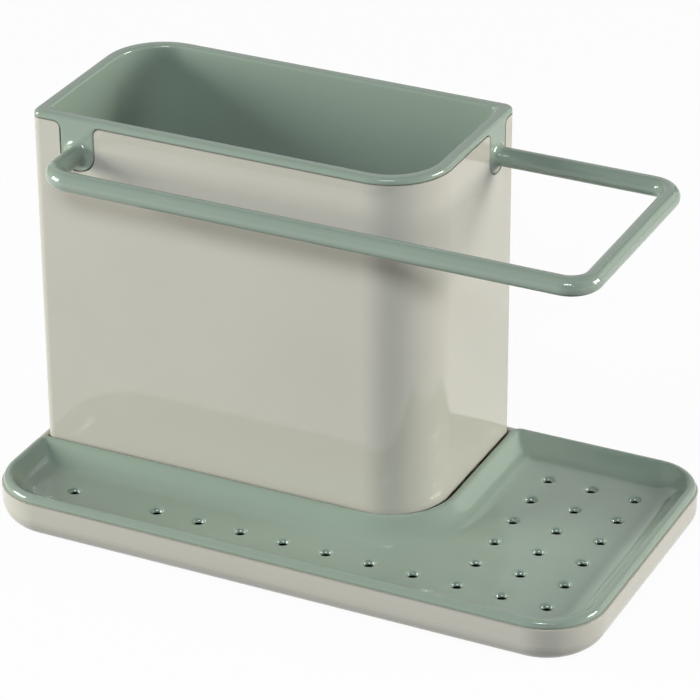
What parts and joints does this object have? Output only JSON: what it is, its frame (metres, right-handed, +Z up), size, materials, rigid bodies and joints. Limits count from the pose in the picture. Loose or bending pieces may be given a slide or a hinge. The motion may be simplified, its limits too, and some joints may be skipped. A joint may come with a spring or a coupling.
{
  "type": "kitchen sink caddy",
  "caption": "Sink caddy: a tall open box with a lift-out liner and round cloth rail, beside an L-shaped drip tray with drain holes, both standing in a shallow base tray.",
  "frame": {"origin": "on the ground, under the middle of the base tray", "axes": "+X along the length, from the caddy towards the open bay of the tray; +Y to the back; +Z up"},
  "size_m": [0.205, 0.1086, 0.1303],
  "materials": {
    "stone_plastic": "glossy moulded plastic, warm stone",
    "sage_plastic": "glossy moulded plastic, sage green",
    "foot_rubber": "soft non-slip pad"
  },
  "bodies": {
    "base": {"base_tray": "stone_plastic", "foot_front_left": "foot_rubber", "foot_front_right": "foot_rubber", "foot_back_left": "foot_rubber", "foot_back_right": "foot_rubber"},
    "tray": {"drip_tray": "sage_plastic"},
    "shell": {"caddy_shell": "stone_plastic"},
    "liner": {"caddy_liner": "sage_plastic"}
  },
  "joints": [
    {"name": "tray_lift", "type": "slide", "parent": "base", "child": "tray", "axis": [0, 0, 1], "range_m": [0, 0.06]},
    {"name": "shell_lift", "type": "slide", "parent": "base", "child": "shell", "axis": [0, 0, 1], "range_m": [0, 0.06]},
    {"name": "liner_lift", "type": "slide", "parent": "shell", "child": "liner", "axis": [0, 0, 1], "range_m": [0, 0.12]}
  ]
}
